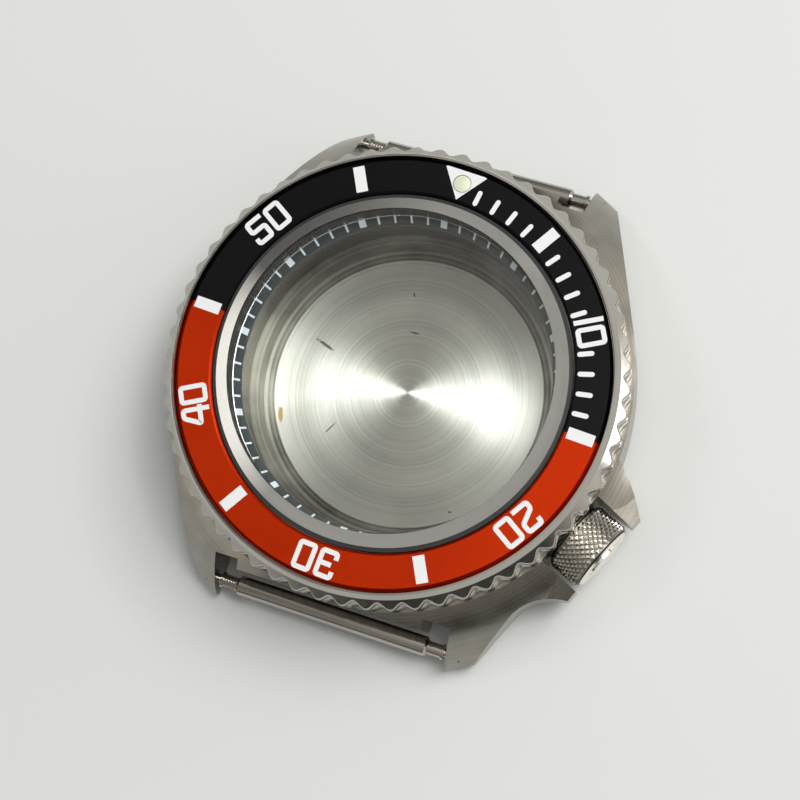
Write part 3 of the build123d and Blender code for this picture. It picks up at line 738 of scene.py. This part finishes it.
def tube_of_rails(rails, closed):
    """Four lines of n points, each at its own height, joined into a tube of quads.

    Points k and k + 1 of a line join the same two of the next line, and an open tube gets its ends.
    """
    n = len(rails[0][0])
    points = np.vstack([np.column_stack([rail, np.full(n, z)]) for rail, z in rails])
    step = np.arange(n if closed else n - 1)
    ahead = (step + 1) % n
    quads = []
    for rail in range(4):
        here, there = rail * n, (rail + 1) % 4 * n
        quads += np.column_stack([step + here, step + there, ahead + there, ahead + here]).tolist()
    if not closed:
        quads += [[3 * n, 2 * n, n, 0], [n - 1, 2 * n - 1, 3 * n - 1, 4 * n - 1]]
    return points, quads


def grid_faces(u_count, v_count, u_closes):
    """Quads of a grid of points, v running fastest and always closing on itself.

    Each point joins the next in u, the next in both and the next in v.
    """
    u_steps = np.arange(u_count if u_closes else u_count - 1)
    u, v = np.meshgrid(u_steps, np.arange(v_count), indexing="ij")
    steps = ((0, 0), (1, 0), (1, 1), (0, 1))
    corner = [(u + i) % u_count * v_count + (v + j) % v_count for i, j in steps]
    return np.stack(corner, -1).reshape(-1, 4).tolist()


def stroke_solid(path, width, low, high, closed=False):
    """A stroke: the line's points shifted half the width to the left and right, at two heights.

    At each point the shift follows the bisector of the two runs that meet there, lengthened so
    that the stroke keeps its width round a corner.
    """
    path = np.asarray(path, float)
    run = np.roll(path, -1, 0) - path
    run /= np.maximum(np.linalg.norm(run, axis=1, keepdims=True), 1e-12)
    before = np.roll(run, 1, 0)
    if not closed:
        before[0], run[-1] = run[0], before[-1]
    bisector = before + run
    bisector /= np.linalg.norm(bisector, axis=1, keepdims=True)
    normal = np.column_stack([-bisector[:, 1], bisector[:, 0]])
    shift = width / 2 / np.maximum((bisector * run).sum(1, keepdims=True), 0.3)
    left, right = path + normal * shift, path - normal * shift
    return tube_of_rails([(left, low), (right, low), (right, high), (left, high)], closed)


def rounded(corners, radius, closed=False):
    """A polyline with each inner corner replaced by an arc.

    The arc is its centre plus cos(turn) of the way to its start and sin(turn) of that to its end.
    """
    corners = np.asarray(corners, float)
    back, on = np.roll(corners, 1, 0) - corners, np.roll(corners, -1, 0) - corners
    start = corners + back / np.linalg.norm(back, axis=1, keepdims=True) * radius
    end = corners + on / np.linalg.norm(on, axis=1, keepdims=True) * radius
    centre = start + end - corners
    to_start, to_end = (start - centre)[:, None], (end - centre)[:, None]
    turn = np.linspace(0, math.pi / 2, corner_points)[:, None]
    arcs = centre[:, None] + to_start * np.cos(turn) + to_end * np.sin(turn)
    if closed:
        return arcs.reshape(-1, 2)
    return np.vstack([corners[:1], arcs[1:-1].reshape(-1, 2), corners[-1:]])


def turned(profile, steps=360, valley=None, teeth=0):
    """A closed profile of (radius, height) points turned once round the watch's axis.

    Where a second profile is given, each point swings between the two as it turns, and the first
    one's share is 0.5 + 0.5 cos(teeth x angle).
    """
    high = np.asarray(profile, float)
    low = np.asarray(profile if valley is None else valley, float)
    around = (np.arange(steps) * 2 * math.pi / steps)[:, None]
    share = (0.5 + 0.5 * np.cos(teeth * around))[..., None]
    radius, height = np.moveaxis(low + (high - low) * share, -1, 0)
    points = np.stack([radius * np.cos(around), radius * np.sin(around), height], -1)
    return points.reshape(-1, 3), grid_faces(steps, len(high), True)


def coil(half, y, z, steps=24, sides=8):
    """A round wire wound at an even pitch from the bar's middle out to x = half.

    At each step a ring of points stands square to the wire: the cosine of its angle goes outward
    from the coil's axis, and the sine goes square to that and to the wire's run.
    """
    t = np.linspace(0, 1, coil_turns * steps + 1)
    wound = t * coil_turns * 2 * math.pi
    outward = np.stack([0 * t, np.cos(wound), np.sin(wound)], -1)
    middle = outward * coil_radius + np.stack([half * t, 0 * t + y, 0 * t + z], -1)
    run = np.gradient(middle, axis=0)
    run /= np.linalg.norm(run, axis=1, keepdims=True)
    aside = np.cross(run, outward)
    angle = (np.arange(sides) * 2 * math.pi / sides)[:, None]
    ring = np.cos(angle) * outward[:, None] + np.sin(angle) * aside[:, None]
    points = middle[:, None] + coil_wire * ring
    ends = [list(range(sides)), [len(t) * sides - 1 - k for k in range(sides)]]
    return points.reshape(-1, 3), grid_faces(len(t), sides, False) + ends


def pip_frame():
    """The triangle at 12 o'clock round the pip's hole, its two outlines joined point by point.

    Rays from the pip's centre meet the hole at its radius, and the triangle at the nearest of
    their crossings with its three sides.
    """
    middle = np.array([0, pip_centre])
    turn = np.linspace(0, 2 * math.pi, pip_points, endpoint=False)
    ray = np.column_stack([np.cos(turn), np.sin(turn)])
    half = triangle_width / 2
    corners = np.array([(-half, triangle_base), (half, triangle_base), (0, triangle_tip)])
    reach = np.full(pip_points, np.inf)
    for start, end in zip(corners, np.roll(corners, -1, 0)):
        side, gap = end - start, start - middle
        cross = ray[:, 0] * side[1] - ray[:, 1] * side[0]
        cross = np.where(abs(cross) < 1e-9, 1e-9, cross)
        distance = (gap[0] * side[1] - gap[1] * side[0]) / cross
        reach = np.where((distance > 0) & (distance < reach), distance, reach)
    edge, circle = middle + ray * reach[:, None], ray * pip_hole + middle
    rails = [(edge, print_low), (edge, print_high), (circle, print_high), (circle, print_low)]
    return tube_of_rails(rails, True)


def slope_block(minute, width, slope, shares):
    """A block on a slope of the chapter ring, its lower and upper edge at shares of the way up.

    Both edges are sunk and lifted along the slope's normal, and their ends are turned apart by
    half the width over the radius.
    """
    foot, head = np.array(slope)
    up = (head - foot) / np.linalg.norm(head - foot)
    normal = np.array([-up[1], up[0]])
    lift, share, side = np.meshgrid((-print_sink, print_rise), shares, (-1, 1), indexing="ij")
    section = foot + (head - foot) * share[..., None] + normal * lift[..., None]
    radius, height = np.moveaxis(section, -1, 0)
    angle = math.radians(90 - minute * 6) - side * width / 2 / radius
    points = np.stack([radius * np.cos(angle), radius * np.sin(angle), height], -1)
    faces = [[0, 1, 3, 2], [4, 6, 7, 5], [0, 4, 5, 1], [2, 3, 7, 6], [0, 2, 6, 4], [1, 5, 7, 3]]
    return points.reshape(-1, 3), faces


def at_minute(solid, minute, centre_radius=0.0):
    """Turns a solid drawn with x clockwise and y outwards to its minute on the insert."""
    points, faces = solid
    angle = math.radians(90 - minute * 6 + insert_turn)
    outward = np.array([math.cos(angle), math.sin(angle)])
    clockwise = np.array([math.sin(angle), -math.cos(angle)])
    flat = points[:, :1] * clockwise + (points[:, 1:2] + centre_radius) * outward
    return np.column_stack([flat, points[:, 2]]), faces


def joined(solids):
    """Several solids as one list of points and one of faces."""
    points, faces, start = [], [], 0
    for solid_points, solid_faces in solids:
        points.append(solid_points)
        faces += [[index + start for index in face] for face in solid_faces]
        start += len(solid_points)
    return np.vstack(points), faces


def piece(name, solids, material, body):
    """Puts solids given in millimetres into one mesh that rides on a CAD body."""
    points, faces = joined(solids)
    mesh = bpy.data.meshes.new(name)
    mesh.from_pydata((points * MM).tolist(), [], faces)
    mesh.validate()
    # Each closed solid's faces are turned outward
    shell = bmesh.new()
    shell.from_mesh(mesh)
    bmesh.ops.recalc_face_normals(shell, faces=shell.faces)
    shell.to_mesh(mesh)
    shell.free()
    mesh.materials.append(material)
    thing = bpy.data.objects.new(name, mesh)
    bpy.context.scene.collection.objects.link(thing)
    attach(thing, body)
    return thing


# Printed marks of the insert. Squared digits are strokes in a box one digit wide and high, each
# with whether it closes; the 1 is a bare bar, and hooks end the 2, the 3 and the 5.
w, h, s = digit_width - digit_stroke, digit_height - digit_stroke, digit_stroke
hook, shoulder, crossing, waist = h * 0.26, h * 0.62, h * 0.3, h * 0.55
digits = {
    "0": [([(0, 0), (w, 0), (w, h), (0, h)], True)],
    "1": [([(0, h + s / 2), (0, -s / 2)], False)],
    "2": [
        (
            [(0, h - hook), (0, h), (w, h), (w, shoulder), (0, crossing), (0, 0), (w + s / 2, 0)],
            False,
        )
    ],
    "3": [
        ([(0, h - hook), (0, h), (w, h), (w, 0), (0, 0), (0, hook)], False),
        ([(s * 0.6, h / 2), (w - s / 2, h / 2)], False),
    ],
    "4": [
        ([(w, -s / 2), (w, h), (w * 0.5, h), (0, crossing), (w - s / 2, crossing)], False),
        ([(w + s / 2, crossing), (w + s * 0.9, crossing)], False),
    ],
    "5": [([(w + s / 2, h), (0, h), (0, waist), (w, waist), (w, 0), (0, 0), (0, hook)], False)],
}


def digit_solids(digit, left):
    """The strokes of one digit, its box's left edge at left and its middle at height 0."""
    solids = []
    for corners, closed in digits[digit]:
        if len(corners) > 2:
            corners = rounded(corners, digit_corner, closed)
        path = corners + np.array([left + digit_stroke / 2, -h / 2])
        solids.append(stroke_solid(path, digit_stroke, print_low, print_high, closed))
    return solids


marks = []
half = marker_width / 2
block = [(-half, marker_inner), (half, marker_inner), (half, marker_outer), (-half, marker_outer)]
for minute in (5, 15, 25, 35, 45, 55):
    marks.append(at_minute(prism(block, print_low, print_high), minute))

end = tick_width / 2
turn = np.linspace(0, math.pi, tick_points)
outer = np.column_stack([end * np.cos(turn), tick_outer - end + end * np.sin(turn)])
turn = turn + math.pi
inner = np.column_stack([end * np.cos(turn), tick_inner + end + end * np.sin(turn)])
tick = np.vstack([outer, inner])
for minute in (1, 2, 3, 4, 6, 7, 8, 9, 11, 12, 13, 14):
    marks.append(at_minute(prism(tick, print_low, print_high), minute))

for minute in (10, 20, 30, 40, 50):
    first, second = str(minute)
    first_width = digit_stroke if first == "1" else digit_width
    left = -(first_width + digit_gap + digit_width) / 2
    for digit, start in ((first, left), (second, left + first_width + digit_gap)):
        marks += [at_minute(solid, minute, digit_centre) for solid in digit_solids(digit, start)]
piece("insert_printing", marks, printing, "bezel_ring")

# Bezel with two tiers of scallops
through_tooth = (rim_section + tooth_section + bore_section)[::-1]
through_valley = (rim_section + valley_section + bore_section)[::-1]
grip = turned(through_tooth, bezel_steps, through_valley, bezel_teeth)
bezel_steel = looks["polished_steel"]
scalloped_bezel = piece("scalloped_bezel", [grip], bezel_steel, "bezel_ring")
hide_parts("bezel")

# Springs in the strap bars: one wire each, in two halves that the plungers press toward its middle
for bar, y in (("bar_12", bar_place), ("bar_6", -bar_place)):
    for end, way in (("left", -1), ("right", 1)):
        wire = coil(way * coil_half, y, bar_height)
        spring = piece(f"{bar}_coil_{end}", [wire], looks["spring_steel"], bar)
        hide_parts(f"{bar}_spring")
        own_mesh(spring)

# Triangle at 12 o'clock
piece("insert_triangle", [at_minute(pip_frame(), 0)], printing, "bezel_ring")

# Chapter ring: thin blocks that lie on its two slopes, and the worn bright edge between them
minute_lines = []
for minute in range(60):
    width = minute_line_width if minute % 5 else five_minute_width
    minute_lines.append(slope_block(minute, width, lower_slope, lower_mark))
    minute_lines.append(slope_block(minute, width, upper_slope, upper_mark))
piece("chapter_printing", minute_lines, grey_printing, "case")
worn_edge = polished_steel("worn edge", "#c9ccd0", 0.2, 0.1)
piece("chapter_ridge", [turned(step_edge)], worn_edge, "case")


# Floor

# From the middle to an edge, in metres
reach = 3.0
floor_corners = [(-reach, -reach, 0), (reach, -reach, 0), (reach, reach, 0), (-reach, reach, 0)]
floor_mesh = bpy.data.meshes.new("floor")
floor_mesh.from_pydata(floor_corners, [], [(0, 1, 2, 3)])
floor = bpy.data.objects.new("floor", floor_mesh)
bpy.context.scene.collection.objects.link(floor)
floor_paint, tree, _ = blank("plain matt floor")
card = add(tree, "ShaderNodeBsdfPrincipled", {"Base Color": linear("#dedfda"), "Roughness": 0.9})
add(tree, "ShaderNodeOutputMaterial", {"Surface": card.outputs[0]})
floor_mesh.materials.append(floor_paint)


# Room

world = bpy.data.worlds.new("room")
bpy.context.scene.world = world
world.use_nodes = True
tree = world.node_tree
tree.nodes.clear()
way = add(tree, "ShaderNodeTexCoord").outputs["Generated"]

# Light on matt surfaces
toward = add(
    tree,
    "ShaderNodeVectorMath",
    {0: way, 1: level_way(window_bearing)},
    operation="DOT_PRODUCT",
)
bright = add(
    tree,
    "ShaderNodeMapRange",
    {0: toward.outputs["Value"], 1: -0.9, 2: 0.9, 3: shade_strength, 4: window_strength},
)
sky = add(
    tree,
    "ShaderNodeBackground",
    {"Color": linear("#fbfbff"), "Strength": bright.outputs[0]},
)

# Walls that the camera, metal and glass see: pale where the line of sight's bearing is within a
# pale wall's half angle of its middle
level = add(tree, "ShaderNodeVectorMath", {0: way, 1: (1, 1, 0)}, operation="MULTIPLY")
bearing = add(tree, "ShaderNodeVectorMath", {0: level.outputs[0]}, operation="NORMALIZE")
height = add(tree, "ShaderNodeSeparateXYZ", {0: way}).outputs["Z"]
wall = 0.0
for middle, half_angle, fade in pale_walls:
    near = add(
        tree,
        "ShaderNodeVectorMath",
        {0: bearing.outputs[0], 1: level_way(middle)},
        operation="DOT_PRODUCT",
    )
    outer_edge = math.cos(math.radians(half_angle + fade))
    inner_edge = math.cos(math.radians(half_angle - fade))
    pale = add(
        tree,
        "ShaderNodeMapRange",
        {0: near.outputs["Value"], 1: outer_edge, 2: inner_edge, 3: 0.0, 4: 1.0},
        interpolation_type="SMOOTHSTEP",
    )
    wall = add(
        tree,
        "ShaderNodeMath",
        {0: pale.outputs[0], 1: wall},
        operation="MAXIMUM",
    ).outputs[0]

# Ceiling, and the walls below it
sideways = add(
    tree,
    "ShaderNodeVectorMath",
    {0: way, 1: level_way(overhead_bearing)},
    operation="DOT_PRODUCT",
)
reach_from, reach_to = overhead_reach
overhead = add(
    tree,
    "ShaderNodeMapRange",
    {0: sideways.outputs["Value"], 1: reach_from, 2: reach_to, 3: overhead_far, 4: overhead_near},
)
top, rise = (
    add(
        tree,
        "ShaderNodeMapRange",
        {0: height, 1: start, 2: full},
        interpolation_type="SMOOTHSTEP",
    )
    for start, full in (overhead_start, ceiling_start)
)
ceiling = add(
    tree,
    "ShaderNodeMix",
    {0: top.outputs[0], 2: dim_ceiling, 3: overhead.outputs[0]},
    data_type="FLOAT",
)
dim = add(
    tree,
    "ShaderNodeMix",
    {0: rise.outputs[0], 2: dim_wall, 3: ceiling.outputs[0]},
    data_type="FLOAT",
)
fade_from, fade_to = wall_end
low = add(tree, "ShaderNodeMapRange", {0: height, 1: fade_from, 2: fade_to, 3: 1.0, 4: 0.0})
lit = add(tree, "ShaderNodeMath", {0: wall, 1: low.outputs[0]}, operation="MULTIPLY")
room = add(tree, "ShaderNodeMath", {0: dim.outputs[0], 1: lit.outputs[0]}, operation="MAXIMUM")
seen = add(
    tree,
    "ShaderNodeBackground",
    {"Color": linear("#fffaf2"), "Strength": room.outputs[0]},
)

# The seen room is for camera, mirror and glass rays, and the sky is for all others
rays = add(tree, "ShaderNodeLightPath")
looked = rays.outputs["Is Camera Ray"]
for ray in ("Is Glossy Ray", "Is Transmission Ray"):
    looked = add(
        tree,
        "ShaderNodeMath",
        {0: looked, 1: rays.outputs[ray]},
        operation="MAXIMUM",
    ).outputs[0]
both = add(tree, "ShaderNodeMixShader", {0: looked, 1: sky.outputs[0], 2: seen.outputs[0]})
add(tree, "ShaderNodeOutputWorld", {"Surface": both.outputs[0]})


# Lamps and camera


def lamp(name, bearing, elevation, power, width, height, distance=0.62):
    """A soft box that faces the watch from a bearing and an elevation, in watts and metres."""
    light = bpy.data.lights.new(name, "AREA")
    light.shape = "RECTANGLE"
    light.size, light.size_y = width, height
    light.energy = power
    box = bpy.data.objects.new(name, light)
    climb = math.radians(elevation)
    x, y, _ = level_way(bearing)
    place = Vector((x * math.cos(climb), y * math.cos(climb), math.sin(climb)))
    box.location = place * distance
    box.rotation_mode = "QUATERNION"
    box.rotation_quaternion = place.to_track_quat("Z", "Y")
    bpy.context.scene.collection.objects.link(box)


lamp("window", 46, 52, 1.6, 0.3, 0.24)
lamp("ceiling lamp", 32, 68, 1.2, 0.2, 0.2)
lamp("far lamp", 170, 57, 0.3, 0.14, 0.14)
lamp("low window", 20, 8, 0.7, 0.42, 0.1)

# Camera fitted to the insert's marks: its place, and which way its right, its up and its back point
camera_place = (31.513, -21.656, 152.527)
picture_right = (0.937397, 0.311227, -0.156283)
picture_up = (-0.280734, 0.940841, 0.189755)
toward_camera = (0.206095, -0.134002, 0.969313)
camera_data = bpy.data.cameras.new("camera")
camera_data.sensor_width = 36
camera_data.lens = 76.5
camera_data.clip_start, camera_data.clip_end = 0.005, 10
camera = bpy.data.objects.new("camera", camera_data)
stance = Matrix((picture_right, picture_up, toward_camera)).transposed().to_4x4()
camera.matrix_world = Matrix.Translation([size * MM for size in camera_place]) @ stance
bpy.context.scene.collection.objects.link(camera)
bpy.context.scene.camera = camera

bpy.context.scene.view_settings.view_transform = "Standard"

bpy.context.view_layer.update()
